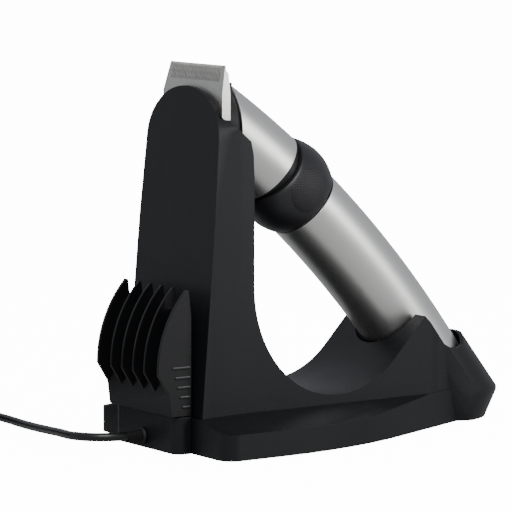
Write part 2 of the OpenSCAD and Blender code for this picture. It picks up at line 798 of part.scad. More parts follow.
module blade_spring() {
    color("#a0a2a4") for (side = [-1, 1])
        translate([blade_x + plate_leaf + cutter_t + 0.32, side * 11 - 0.4, blade_bottom + 3])
            cube([0.16, 0.8, 8]);
}

// ---- switch ring ----

// Belly of the ring: t runs from -1 at one end to 1 at the other
ring_edge = tube_r + 0.6;
function belly(t, lift) = [ring_edge + ring_rise * 0.87 * (1 - t * t) + lift, t * (ring_len / 2 - 0.7)];

module switch_ring() {
    color("#29282b") on_bend(phi_ring) rotate_extrude() polygon(concat(
        [[hub_r + 0.05, -ring_len / 2 + 0.1], [ring_edge - 0.6, -ring_len / 2 + 0.1]],
        [for (i = [-4:4]) belly(i / 4, 0)],
        [[ring_edge - 0.6, ring_len / 2 - 0.1], [hub_r + 0.05, ring_len / 2 - 0.1]]));
}

// The two finger pads lie on the belly, at the clipper's left and right
module grip_pads() {
    turn = pad_len / (ring_edge + ring_rise) * 180 / PI;
    reach = pad_len / ring_len;
    color("#3a383c") on_bend(phi_ring) for (side = [-1, 1]) rotate([0, 0, 90 * side - turn / 2])
        rotate_extrude(angle = turn) polygon(concat(
            [for (i = [-3:3]) belly(i / 3 * reach, 0.03)],
            [for (i = [3:-1:-3]) belly(i / 3 * reach, 0.5)]));
}

module switch_wiper() {
    color("#c9a24a") on_bend(phi_ring)
        translate([0, 0, -ring_len / 2 - 0.12]) pipe(0.2, tube_r - 0.2, hub_r + 0.3);
}

// ---- guide comb ----

module comb_outline(g) {
    polygon(concat(
        [[comb_front, comb_low], [comb_front, comb_tip_z - 12], [comb_tip_x + 1.2, comb_tip_z - 0.3]],
        [for (i = [0:10]) let (a = asin(comb_bow / comb_arc_r) * (1 - i / 10))
            [comb_corner_x + comb_arc_r * (1 - cos(a)) + g, comb_corner_z + comb_arc_r * sin(a)]],
        [[comb_corner_x + 5.4 + g, comb_low + 9.8], [post_x - 2.1 + g, comb_low]]));
}

fins = 4;
fin_gap = 8.9;
function bar_len(i) = 4 + 1.2 * i;
module guide_comb() {
    color("#101012") {
        for (side = [-1, 1]) translate([0, side * (comb_half - plate_wall / 2), 0])
            along_y(plate_wall / 2) comb_outline(0);
        for (i = [0:fins - 1]) translate([0, (i - (fins - 1) / 2) * fin_gap, 0])
            along_y(fin_t / 2) intersection() {
                comb_outline(0);
                polygon([[-40, comb_low + 8], [post_x + 1.8, comb_low + 8],
                    [comb_tip_x + 0.9, comb_tip_z - 6],
                    [comb_tip_x + 3, comb_tip_z - 4], [comb_tip_x + 3, comb_tip_z + 5],
                    [-40, comb_tip_z + 5]]);
            }
        along_y(comb_half - 0.5) polygon([[post_x - 2.1, comb_low], [post_x - 3.3, comb_low + 9.8],
            [comb_tip_x - 1.2, comb_tip_z - 9], [comb_tip_x + 0.4, comb_tip_z - 9],
            [post_x - 1.4, comb_low + 9.8], [post_x - 0.3, comb_low]]);
        for (side = [-1, 1], i = [0:4])
            translate([comb_front - 0.8, side * comb_half, comb_low + 3.8 + i * bar_pitch])
            translate([-bar_len(i) / 2, 0, 0]) cube([bar_len(i), 1, 0.7], center = true);
    }
}

module centred() { translate([-mid_x, 0, 0]) children(); }

centred() stand_shell();
centred() base_skirt();
centred() base_cover();
centred() comb_post();
centred() neck_saddle();
centred() contact_block();
centred() contact_pins();
centred() charge_board();
centred() base_weight();
centred() cover_screws();
centred() rubber_feet();
centred() lead_grommet();
centred() inner_lead();
centred() cord();
centred() cord_coil();
centred() cord_tie();
centred() adapter_body();
centred() adapter_cover();
centred() adapter_pins();
centred() lower_sleeve();
centred() upper_sleeve();
centred() core_tube();
centred() groove_ring();
centred() end_cap();
centred() end_contacts();
centred() end_seal();
centred() battery_cells();
centred() main_board();
centred() motor();
centred() motor_bracket();
centred() head_frame();
centred() fixed_blade();
centred() blade_screws();
centred() blade_spring();
centred() switch_ring();
centred() grip_pads();
centred() switch_wiper();
centred() moving_blade();
centred() cutter_yoke();
centred() motor_shaft();
centred() eccentric();
centred() guide_comb();
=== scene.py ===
"""A bent hair clipper in its charging stand, with a guide comb and a mains lead."""

import logging
import math
from dataclasses import dataclass, field
from enum import Enum
from typing import Any, Callable, Iterator, Sequence

import bpy
from mathutils import Matrix, Vector


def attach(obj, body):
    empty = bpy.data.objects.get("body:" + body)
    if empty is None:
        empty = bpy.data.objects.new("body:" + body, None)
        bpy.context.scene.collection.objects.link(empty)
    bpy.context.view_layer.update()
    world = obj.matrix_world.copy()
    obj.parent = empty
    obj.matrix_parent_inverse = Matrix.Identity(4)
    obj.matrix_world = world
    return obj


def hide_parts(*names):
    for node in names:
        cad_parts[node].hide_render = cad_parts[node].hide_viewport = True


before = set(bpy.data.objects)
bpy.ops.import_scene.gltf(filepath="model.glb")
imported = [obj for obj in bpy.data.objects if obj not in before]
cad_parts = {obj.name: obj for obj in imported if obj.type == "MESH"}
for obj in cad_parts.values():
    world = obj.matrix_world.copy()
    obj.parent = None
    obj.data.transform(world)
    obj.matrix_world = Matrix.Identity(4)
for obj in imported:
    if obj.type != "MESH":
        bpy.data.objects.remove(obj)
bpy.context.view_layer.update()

LOG = logging.getLogger("hair_clipper")
MM = 0.001
MID_X = 88.0509  # the bench's x of the model's origin, in mm
TAU = 2.0 * math.pi

Outline = Sequence[tuple[float, float]]
Piece = bpy.types.Object


class Side(Enum):
    """The near and far side of the middle plane."""

    NEAR = -1
    FAR = 1


# ---- bench tools ----


def spot(x: float, y: float, z: float) -> Vector:
    """A bench position in mm as a place in the frame, in metres."""
    return Vector(((x - MID_X) * MM, y * MM, z * MM))


def deselect_all() -> None:
    """Leaves edit mode and leaves nothing selected."""
    if bpy.context.object and bpy.context.object.mode != "OBJECT":
        bpy.ops.object.mode_set(mode="OBJECT")
    bpy.ops.object.select_all(action="DESELECT")


def activate(piece: Piece) -> None:
    """Selects one piece alone and makes it the active one."""
    deselect_all()
    piece.select_set(True)
    bpy.context.view_layer.objects.active = piece


def edit_all(piece: Piece) -> None:
    """Opens a piece in edit mode with all of it selected."""
    activate(piece)
    bpy.ops.object.mode_set(mode="EDIT")
    bpy.ops.mesh.select_all(action="SELECT")


def modify(piece: Piece, kind: str, **settings: Any) -> None:
    """Adds a modifier and applies it.

    Args:
        piece: The piece that it changes.
        kind: The modifier's type.
        **settings: Its settings.
    """
    activate(piece)
    modifier = piece.modifiers.new(kind.lower(), kind)
    for key, value in settings.items():
        setattr(modifier, key, value)
    bpy.ops.object.modifier_apply(modifier=modifier.name)


def soften(piece: Piece, width: float, segments: int = 2, angle: float = 35.0) -> None:
    """Rounds the sharp edges and shades the rest smooth.

    Args:
        piece: The piece to round.
        width: The width of the rounding, in mm.
        segments: The steps across it.
        angle: Edges sharper than this are rounded, in degrees.
    """
    modify(
        piece,
        "BEVEL",
        width=width * MM,
        segments=segments,
        limit_method="ANGLE",
        angle_limit=math.radians(angle),
        miter_outer="MITER_ARC",
    )
    shade(piece, angle)
    modify(piece, "WEIGHTED_NORMAL", keep_sharp=True, weight=50)


def shade(piece: Piece, angle: float = 35.0) -> None:
    """Shades a piece smooth up to an angle, in degrees."""
    activate(piece)
    bpy.ops.object.shade_smooth_by_angle(angle=math.radians(angle))


def join(name: str, pieces: Sequence[Piece]) -> Piece:
    """Makes several pieces one piece of that name."""
    activate(pieces[0])
    for piece in pieces[1:]:
        piece.select_set(True)
    if len(pieces) > 1:
        bpy.ops.object.join()
    pieces[0].name = name
    return pieces[0]


def turned(name: str, section: Outline, place: Matrix, steps: int = 96) -> Piece:
    """Spins a closed section about the Z axis of a place.

    Args:
        name: The piece's name.
        section: (radius, height) corners of the section, in mm, in order.
        place: Where the axis stands.
        steps: Faces round the axis.

    Returns:
        The closed turned piece.
    """
    deselect_all()
    bpy.ops.mesh.primitive_circle_add(vertices=len(section), radius=0.01, fill_type="NOTHING")
    piece = bpy.context.object
    piece.name = name
    for vertex, (radius, height) in zip(piece.data.vertices, section):
        vertex.co = (radius * MM, 0.0, height * MM)
    edit_all(piece)
    bpy.ops.mesh.spin(steps=steps, angle=TAU, center=(0, 0, 0), axis=(0, 0, 1))
    bpy.ops.mesh.select_all(action="SELECT")
    bpy.ops.mesh.remove_doubles(threshold=1e-6)
    bpy.ops.mesh.dissolve_degenerate(threshold=1e-6)
    bpy.ops.mesh.select_all(action="SELECT")
    bpy.ops.mesh.normals_make_consistent(inside=False)
    deselect_all()
    piece.data.transform(place)
    return piece


def merged_copy(node: str, name: str, flat: float = 0.4) -> Piece:
    """Copies a CAD node's mesh and joins its loose triangles into clean faces.

    Args:
        node: The CAD node.
        name: The new piece's name.
        flat: Faces that meet under this angle become one, in degrees.

    Returns:
        The new piece, in the node's place.
    """
    piece = bpy.data.objects.new(name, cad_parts[node].data.copy())
    bpy.context.scene.collection.objects.link(piece)
    piece.data.materials.clear()
    edit_all(piece)
    bpy.ops.mesh.remove_doubles(threshold=2e-6)
    bpy.ops.mesh.dissolve_limited(angle_limit=math.radians(flat))
    deselect_all()
    return piece


def smoothstep(t: float) -> float:
    """A soft step from 0 to 1."""
    t = min(max(t, 0.0), 1.0)
    return t * t * (3.0 - 2.0 * t)


# ---- finishes ----


def linear(colour: str) -> tuple[float, float, float, float]:
    """Turns an sRGB hex colour to linear values with full opacity."""
    parts = [int(colour[i : i + 2], 16) / 255.0 for i in (1, 3, 5)]
    turned_parts = [c / 12.92 if c <= 0.04045 else ((c + 0.055) / 1.055) ** 2.4 for c in parts]
    return (turned_parts[0], turned_parts[1], turned_parts[2], 1.0)


def add_node(tree: bpy.types.NodeTree, kind: str, sockets: dict[str, Any], **settings: Any) -> Any:
    """Adds one shader node.

    Args:
        tree: The material's node tree.
        kind: The node's type.
        sockets: A value, or another node's output, for each named input.
        **settings: The node's own settings.

    Returns:
        The new node.
    """
    node = tree.nodes.new(kind)
    for key, value in settings.items():
        setattr(node, key, value)
    for key, value in sockets.items():
        if isinstance(value, bpy.types.NodeSocket):
            tree.links.new(value, node.inputs[key])
        else:
            node.inputs[key].default_value = value
    return node


@dataclass(frozen=True)
class Finish:
    """A plain finish: a mottled colour, an uneven gloss and a fine moulded grain.

    Sizes of patterns are in mm.
    """

    name: str
    colour: str
    second: str
    roughness: float
    metallic: float = 0.0
    ior: float = 1.5
    mottle: float = 14.0
    grain: float = 0.9
    depth: float = 0.03
    turn: float = 0.0
    stretch: float = 1.0

    def material(self) -> bpy.types.Material:
        """Makes the material, or returns the one already made."""
        known = bpy.data.materials.get(self.name)
        if known:
            return known
        material = bpy.data.materials.new(self.name)
        material.use_nodes = True
        tree = material.node_tree
        tree.nodes.clear()
        place = add_node(tree, "ShaderNodeTexCoord", {}).outputs["Object"]
        turn = add_node(
            tree,
            "ShaderNodeMapping",
            {"Vector": place, "Rotation": (0.0, math.radians(self.turn), 0.0)},
        ).outputs["Vector"]
        surface = add_node(
            tree, "ShaderNodeMapping", {"Vector": turn, "Scale": (1.0, 1.0, self.stretch)}
        ).outputs["Vector"]
        colour = self.paint(tree, surface)
        bump = self.relief(tree, surface)
        shader = add_node(
            tree,
            "ShaderNodeBsdfPrincipled",
            {
                "Base Color": colour,
                "Roughness": self.gloss(tree, surface),
                "Metallic": self.metallic,
                "Normal": bump,
            },
        )
        if not self.metallic:
            shader.inputs["IOR"].default_value = self.ior
        add_node(tree, "ShaderNodeOutputMaterial", {"Surface": shader.outputs["BSDF"]})
        return material

    def noise(
        self, tree: bpy.types.NodeTree, surface: Any, size: float, detail: float = 3.0
    ) -> Any:
        """Noise with spots of a size in mm."""
        return add_node(
            tree,
            "ShaderNodeTexNoise",
            {"Vector": surface, "Scale": 1.0 / (size * MM), "Detail": detail, "Roughness": 0.6},
        ).outputs["Fac"]

    def paint(self, tree: bpy.types.NodeTree, surface: Any) -> Any:
        """The colour, which wanders between the finish's two."""
        return add_node(
            tree,
            "ShaderNodeMix",
            {
                "Factor": self.noise(tree, surface, self.mottle),
                "A": linear(self.colour),
                "B": linear(self.second),
            },
            data_type="RGBA",
        ).outputs["Result"]

    def gloss(self, tree: bpy.types.NodeTree, surface: Any) -> Any:
        """The roughness, a little uneven from handling."""
        return add_node(
            tree,
            "ShaderNodeMapRange",
            {
                "Value": self.noise(tree, surface, self.mottle * 0.6),
                "To Min": self.roughness * 0.88,
                "To Max": min(self.roughness * 1.12, 1.0),
            },
        ).outputs["Result"]

    def height(self, tree: bpy.types.NodeTree, surface: Any) -> Any:
        """The height map: a fine grain."""
        return self.noise(tree, surface, self.grain, 2.0)

    def relief(self, tree: bpy.types.NodeTree, surface: Any) -> Any:
        """The bump that the height map gives."""
        return add_node(
            tree,
            "ShaderNodeBump",
            {"Height": self.height(tree, surface), "Strength": 0.35, "Distance": self.depth * MM},
        ).outputs["Normal"]


@dataclass(frozen=True)
class DottedFinish(Finish):
    """A grip finish with rows of small raised dots."""

    pitch: float = 1.3

    def height(self, tree: bpy.types.NodeTree, surface: Any) -> Any:
        """Rows of dots, by two crossed waves."""
        parts = add_node(tree, "ShaderNodeSeparateXYZ", {"Vector": surface})
        waves = []
        for axis in ("X", "Z"):
            turn = add_node(
                tree,
                "ShaderNodeMath",
                {0: parts.outputs[axis], 1: TAU / (self.pitch * MM)},
                operation="MULTIPLY",
            )
            waves.append(add_node(tree, "ShaderNodeMath", {0: turn.outputs[0]}, operation="SINE"))
        crossed = add_node(
            tree,
            "ShaderNodeMath",
            {0: waves[0].outputs[0], 1: waves[1].outputs[0]},
            operation="MULTIPLY",
        )
        return add_node(
            tree, "ShaderNodeMath", {0: crossed.outputs[0], 1: 0.0}, operation="MAXIMUM"
        ).outputs[0]


@dataclass(frozen=True)
class RibbedFinish(Finish):
    """A ground blade face with fine ribs that lie in line with its teeth."""

    pitch: float = 1.16
    slant: float = 0.45

    def height(self, tree: bpy.types.NodeTree, surface: Any) -> Any:
        """Ribs across Y that lean a little with the height."""
        parts = add_node(tree, "ShaderNodeSeparateXYZ", {"Vector": surface})
        lean = add_node(
            tree, "ShaderNodeMath", {0: parts.outputs["Z"], 1: self.slant}, operation="MULTIPLY"
        )
        across = add_node(
            tree, "ShaderNodeMath", {0: parts.outputs["Y"], 1: lean.outputs[0]}, operation="ADD"
        )
        turn = add_node(
            tree,
            "ShaderNodeMath",
            {0: across.outputs[0], 1: TAU / (self.pitch * MM)},
            operation="MULTIPLY",
        )
        wave = add_node(tree, "ShaderNodeMath", {0: turn.outputs[0]}, operation="SINE")
        facing = add_node(tree, "ShaderNodeTexCoord", {}).outputs["Normal"]
        front = add_node(tree, "ShaderNodeSeparateXYZ", {"Vector": facing}).outputs["X"]
        size = add_node(tree, "ShaderNodeMath", {0: front}, operation="ABSOLUTE")
        return add_node(
            tree, "ShaderNodeMath", {0: wave.outputs[0], 1: size.outputs[0]}, operation="MULTIPLY"
        ).outputs[0]


# Injection-moulded ABS with a spark-eroded grain: soft grey sheen, no clear reflection.
STAND_ABS = Finish("moulded_abs_graphite", "#0d0e10", "#111214", 0.42, ior=1.33, depth=0.05)
# The same ABS in the base, a little cooler and duller from wiping.
BASE_ABS = Finish("moulded_abs_base", "#0c0d0f", "#101113", 0.45, ior=1.33, depth=0.05)
# Black ABS of the inner parts: deep and nearly matte.
BLACK_ABS = Finish("moulded_abs_black", "#060607", "#09090a", 0.5, ior=1.4)
# Glass-filled nylon of the guide comb: black with a low oily sheen.
COMB_NYLON = Finish("moulded_nylon_black", "#09090b", "#0d0d0f", 0.4, ior=1.36, grain=1.2)
# The same nylon, painted paler for the raised marks: a painted highlight along them.
PAINTED_HIGHLIGHT_NYLON = Finish("moulded_nylon_painted_highlight", "#2c2c2e", "#3a3a3c", 0.35, ior=1.5, grain=1.2)
# Stainless steel brushed along the tube: long fine streaks, drawn ten times too coarse to show.
BRUSHED_STEEL = Finish(
    "brushed_stainless_steel", "#dddcd9", "#d0cfcb", 0.36, 1.0, mottle=6.0, grain=0.5, depth=0.012,
    turn=44.0, stretch=0.02,
)
# Ground blade steel: bright, with the ribs that the grinding wheel leaves between teeth.
BLADE_STEEL = RibbedFinish(
    "ground_blade_steel", "#d2d1cc", "#c2c1bc", 0.38, 1.0, mottle=5.0, depth=0.7
)
# Polyamide of the switch ring: nearly black with a satin skin.
RING_NYLON = Finish("moulded_nylon_ring", "#19191b", "#1e1e20", 0.4, ior=1.45)
# Soft grip pads with moulded dots, drawn slightly coarser than real so that they show.
PAD_RUBBER = DottedFinish(
    "grip_elastomer", "#151417", "#1a191c", 0.55, ior=1.45, depth=0.5, turn=49.3, pitch=1.5
)
# Soft black rubber of feet, seal and strain relief.
RUBBER = Finish("black_rubber", "#050505", "#090909", 0.6, ior=1.45, grain=0.6)
# Extruded PVC sheath of the lead: smooth, dark, with a soft highlight along it.
CABLE_PVC = Finish(
    "extruded_pvc_black", "#060607", "#0a0a0b", 0.38, ior=1.48, grain=2.5, depth=0.05
)
# Gold-plated contacts.
GOLD = Finish("gold_plate", "#d8b25a", "#c79f4c", 0.3, 1.0)
# Green solder mask over glass-epoxy board.
BOARD = Finish("solder_mask_green", "#1f5a35", "#194a2b", 0.35, ior=1.55)
# Bare cast ballast.
IRON = Finish("cast_iron", "#6a6c6e", "#55575a", 0.6, 1.0, depth=0.1)
# Zinc-plated screws and springs.
ZINC = Finish("zinc_plate", "#a9abae", "#97999c", 0.32, 1.0)
# Printed shrink sleeve of the cells.
SLEEVE = Finish("shrink_sleeve_green", "#5f8044", "#56753e", 0.3, ior=1.5)
# Plated motor can and shaft.
MOTOR_STEEL = Finish("plated_motor_steel", "#8e9093", "#808285", 0.35, 1.0)
# White acetal of the drive.
ACETAL = Finish("moulded_acetal_white", "#d8d5cc", "#cfccc2", 0.45, ior=1.48)
# Nickel-plated mains pins.
NICKEL = Finish("nickel_plate", "#c2c1bc", "#b3b2ad", 0.22, 1.0)


def dress(piece: Piece, finish: Finish) -> None:
    """Gives a piece its finish, without touching a CAD node's mesh."""
    material = finish.material()
    if not piece.material_slots:
        piece.data.materials.append(material)
    for place in piece.material_slots:
        place.link = "OBJECT"
        place.material = material


def hand_over(piece: Piece, body: str, finish: Finish, slot: str, *nodes: str) -> Piece:
    """Puts a finished piece on its body in place of its CAD nodes.

    Args:
        piece: The finished piece.
        body: The body that it rides on.
        finish: Its finish.
        slot: The record's material slot; not used.
        *nodes: The CAD nodes that it stands for.

    Returns:
        The piece.
    """
    piece.data.materials.clear()
    piece.data.materials.append(finish.material())
    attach(piece, body)
    if nodes:
        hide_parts(*nodes)
    size = len(piece.data.polygons) if piece.type == "MESH" else 0
    LOG.info("%s on %s: %d faces", piece.name, body, size)
    return piece


# ---- the bend ----


@dataclass(frozen=True)
class Bend:
    """The arc that the clipper's middle line follows. Lengths run from the end cap, in mm."""

    radius: float = 470.0
    dip: float = 55.5
    length: float = 162.0
    mouth_x: float = 40.5
    seat_z: float = 20.0

    def angle(self, along: float) -> float:
        """The angle on the arc at a length, in radians."""
        return math.radians(90.0 - self.dip) + along / self.radius

    def centre(self) -> tuple[float, float]:
        """The arc's centre, as bench x and z."""
        x = self.mouth_x - self.radius * math.cos(self.angle(self.length))
        return x, self.seat_z - self.radius * math.sin(self.angle(0.0))

    def place(self, along: float) -> Matrix:
        """The place at a length: X outwards, Y across, Z towards the head."""
        a = self.angle(along)
        x, z = self.centre()
        axes = ((math.cos(a), 0.0, math.sin(a)), (0.0, 1.0, 0.0), (-math.sin(a), 0.0, math.cos(a)))
        place = Matrix(axes).transposed().to_4x4()
        place.translation = spot(x + self.radius * math.cos(a), 0.0, z + self.radius * math.sin(a))
        return place

    def shell(self, name: str, start: float, stop: float, radius: float) -> Piece:
        """Spins a circle along the arc into an open tube, faces outwards.

        Args:
            name: The piece's name.
            start: Where it starts, in mm along the body.
            stop: Where it ends.
            radius: Its radius in mm.

        Returns:
            The open tube.
        """
        deselect_all()
        bpy.ops.mesh.primitive_circle_add(vertices=96, radius=radius * MM, fill_type="NOTHING")
        piece = bpy.context.object
        piece.name = name
        piece.data.transform(self.place(start))
        x, z = self.centre()
        edit_all(piece)
        bpy.ops.mesh.spin(
            steps=48, angle=(stop - start) / self.radius, center=spot(x, 0.0, z), axis=(0, 1, 0)
        )
        deselect_all()
        face = piece.data.polygons[0]
        middle = self.place(start).translation
        if (face.center - middle).dot(face.normal) < 0.0:
            piece.data.flip_normals()
        return piece


BEND = Bend()


# ---- sub-assemblies ----


@dataclass
class Lead:
    """The mains lead: strain relief, stretch on the table, coil, tie and wall adapter."""

    diameter: float = 3.8
    columns: int = 3
    layers: int = 4
    middle: tuple[float, float] = (-57.0, 136.0)
    mean: float = 41.8
    join_at: float = 40.0
    leave_at: float = 270.0
    turns: int = 11
    steps: int = 20
    post_x: float = -0.745
    stretch: Outline = (
        (-8.6, 1, 6.5), (-13.8, 1.6, 6.5), (-18.3, 3.5, 6.5), (-22, 6.6, 6.4), (-24.6, 10.7, 6.3),
        (-25.9, 15.4, 6.1), (-25.9, 19.1, 5.8), (-23.9, 32, 5.1), (-21.8, 44, 4.2), (-19.6, 56, 3.3),
        (-17.4, 68, 2.5), (-15.6, 80, 2), (-14.6, 91, 1.9), (-14.2, 102, 1.9), (-14.8, 111, 1.9),
        (-17, 120, 1.9), (-20.9, 128, 1.9), (-25.2, 134.5, 1.9), (-29.6, 139.8, 1.9), (-34, 146, 1.9),
    )
    tail: Outline = (
        (-50, 111.2, 13.2), (-43, 111.2, 12.3), (-36, 111.3, 10.5), (-29, 111.6, 8.3),
        (-21.4, 113.6, 6.2), (-15.8, 119.2, 4.8), (-13.8, 126.8, 5.4), (-15.8, 134.4, 8.2),
        (-21.4, 140, 12.8), (-29, 142, 18.2), (-34, 142.2, 20.6), (-38, 142.2, 21.6),
    )
    exit_end: tuple[float, float, float] = (-33.5, 142.2, 20.6)

    def coil_points(self) -> Iterator[tuple[float, float, float]]:
        """The coil's middle line: rows inwards and outwards by turns, one row on the other."""
        total = self.turns + (self.leave_at - self.join_at) / 360.0
        count = int(total * self.steps)
        outer = self.mean / 2 + (self.columns - 1) / 2 * self.diameter
        for i in range(count + 1):
            turn = total * i / count
            row = min(int(turn / self.columns), self.layers - 1)
            inside = turn - row * self.columns
            column = min(int(inside), self.columns - 1)
            late = smoothstep((inside - column - 0.8) / 0.2)
            last = column == self.columns - 1
            shift = column + (0.0 if last else late)
            if row % 2:
                shift = self.columns - 1 - shift
            radius = outer - shift * self.diameter
            height = (row + 0.5 + (late if last else 0.0)) * self.diameter
            angle = math.radians(self.join_at + 360.0 * turn)
            yield (
                self.middle[0] + radius * math.cos(angle),
                self.middle[1] + radius * math.sin(angle),
                height,
            )

    def cord(self, parts: Sequence[Piece]) -> Piece:
        """Lays the whole lead as one curve.

        Args:
            parts: The pieces that are on it; not used.

        Returns:
            The lead.
        """
        points = [spot(*p) for p in (*self.stretch, *self.coil_points(), *self.tail)]
        curve = bpy.data.curves.new("mains_lead", "CURVE")
        curve.dimensions = "3D"
        spline = curve.splines.new("BEZIER")
        spline.bezier_points.add(len(points) - 1)
        for knot, point in zip(spline.bezier_points, points):
            knot.co = point
            knot.handle_left_type = knot.handle_right_type = "AUTO"
        spline.resolution_u = 4
        curve.bevel_depth = self.diameter / 2 * MM
        curve.bevel_resolution = 4
        curve.use_fill_caps = True
        piece = bpy.data.objects.new("mains_lead", curve)
        bpy.context.scene.collection.objects.link(piece)
        bpy.context.view_layer.update()
        hand_over(piece, "stand", CABLE_PVC, "cable", "cord", "cord_coil")
        LOG.info("mains lead is %.3f m long", spline.calc_length())
        return piece

    def relief(self) -> Piece:
        """Turns the strain relief: a flange and a ribbed taper."""
        section = [(1.45, -3.6), (2.2, -3.6), (2.2, 0.0), (3.45, 0.0), (3.7, 0.3), (3.7, 1.2), (3.4, 1.6)]
        rib, count = 1.25, 5
        for i in range(count):
            low = 1.7 + i * rib
            radius = 3.1 - 0.14 * i
            waist = radius - 0.4
            section += [(radius, low), (radius, low + 0.75), (waist, low + 0.85), (waist, low + 1.15)]
        section += [(2.35, 7.9), (2.2, 8.0), (1.95, 8.0), (1.45, 7.4)]
        axes = Matrix(((0, 0, -1), (0, 1, 0), (1, 0, 0)))
        place = axes.to_4x4()
        place.translation = spot(self.post_x, 1.0, 6.0)
        piece = turned("strain_relief", section, place, 48)
        shade(piece, 40.0)
        return hand_over(piece, "stand", RUBBER, "rubber", "lead_grommet")

    def adapter(self) -> list[Piece]:
        """Rounds the adapter's two halves and its pins, and adds the end's strain relief."""
        body = merged_copy("adapter_body", "adapter_shell")
        soften(body, 0.8)
        cover = merged_copy("adapter_cover", "adapter_lid")
        soften(cover, 1.6, 3)
        section = [(1.0, -3.0), (3.4, -3.0), (3.3, 1.0), (2.9, 4.0), (2.5, 7.0), (2.1, 8.0), (1.0, 8.0)]
        direction = Vector((1.0, 0.0, -0.42)).normalized()
        place = direction.to_track_quat("Z", "Y").to_matrix().to_4x4()
        place.translation = spot(*self.exit_end)
        end = turned("adapter_relief", section, place, 40)
        shade(end, 40.0)
        pins = merged_copy("adapter_pins", "mains_pins")
        soften(pins, 0.7, 3)
        return [
            hand_over(body, "stand", BLACK_ABS, "black_plastic", "adapter_body"),
            hand_over(cover, "stand", BLACK_ABS, "black_plastic", "adapter_cover"),
            hand_over(end, "stand", RUBBER, "rubber"),
            hand_over(pins, "stand", NICKEL, "nickel", "adapter_pins"),
        ]

    def tie(self) -> Piece:
        """The band that holds the coil."""
        piece = merged_copy("cord_tie", "coil_tie")
        soften(piece, 0.4)
        return hand_over(piece, "stand", RUBBER, "rubber", "cord_tie")

    def build(self) -> None:
        """Builds the lead and what is on it."""
        relief = self.relief()
        self.cord([relief, self.tie(), *self.adapter()])


@dataclass
class Stand:
    """The stand: its body, the base round it and the block behind it."""

    rounding: float = 0.8

    def build(self) -> None:
        """Builds the mouldings that show."""
        shell = merged_copy("stand_shell", "stand_body")
        soften(shell, self.rounding, 3, 30.0)
        hand_over(shell, "stand", STAND_ABS, "stand_plastic", "stand_shell")
        skirt = merged_copy("base_skirt", "base_ring")
        soften(skirt, 1.0, 3, 20.0)
        hand_over(skirt, "stand", BASE_ABS, "base_plastic", "base_skirt")
        post = merged_copy("comb_post", "comb_block")
        soften(post, 0.7, 3, 30.0)
        hand_over(post, "stand", BASE_ABS, "base_plastic", "comb_post")


@dataclass
class Clipper:
    """The clipper's steel tube and its blade head."""

    tube_r: float = 17.5
    wall: float = 1.0
    ring_low: float = 110.3
    ring_high: float = 132.7
    groove: float = 1.8
    rim_x: float = 38.4

    def sleeve(self, name: str, node: str, start: float, stop: float, cut: bool) -> Piece:
        """One steel sleeve: an open tube with a wall inside it.

        Args:
            name: The piece's name.
            node: The CAD node that it replaces.
            start: Where it starts along the body, in mm.
            stop: Where it ends.
            cut: Whether the mouth's upright cut ends it.

        Returns:
            The sleeve.
        """
        piece = BEND.shell(name, start, stop, self.tube_r)
        if cut:
            edit_all(piece)
            bpy.ops.mesh.bisect(
                plane_co=spot(self.rim_x, 0, 0), plane_no=(-1, 0, 0), clear_outer=True
            )
            deselect_all()
        modify(piece, "SOLIDIFY", thickness=self.wall * MM, offset=-1.0)
        soften(piece, 0.25, 3, 50.0)
        return hand_over(piece, "clipper", BRUSHED_STEEL, "steel", node)

    def build(self) -> None:
        """Builds the sleeves, the groove's seal and the blade set."""
        self.sleeve("lower_tube", "lower_sleeve", 4.0, self.ring_low - 0.8, False)
        start = self.ring_high + self.groove
        self.sleeve("upper_tube", "upper_sleeve", start, BEND.length + 30.0, True)
        for node, name, finish, slot, width in (
            ("head_frame", "head_carrier", BLACK_ABS, "black_plastic", 0.4),
            ("fixed_blade", "outer_blade", BLADE_STEEL, "blade_steel", 0.12),
        ):
            piece = merged_copy(node, name)
            soften(piece, width)
            hand_over(piece, "clipper", finish, slot, node)
        cutter = merged_copy("moving_blade", "inner_blade")
        soften(cutter, 0.1, 1)
        hand_over(cutter, "cutter", BLADE_STEEL, "blade_steel", "moving_blade")
        seal = BEND.shell("groove_seal", self.ring_high + 0.5, start - 0.1, 16.9)
        modify(seal, "SOLIDIFY", thickness=0.45 * MM, offset=-1.0)
        shade(seal)
        hand_over(seal, "clipper", BLACK_ABS, "black_plastic", "groove_ring")


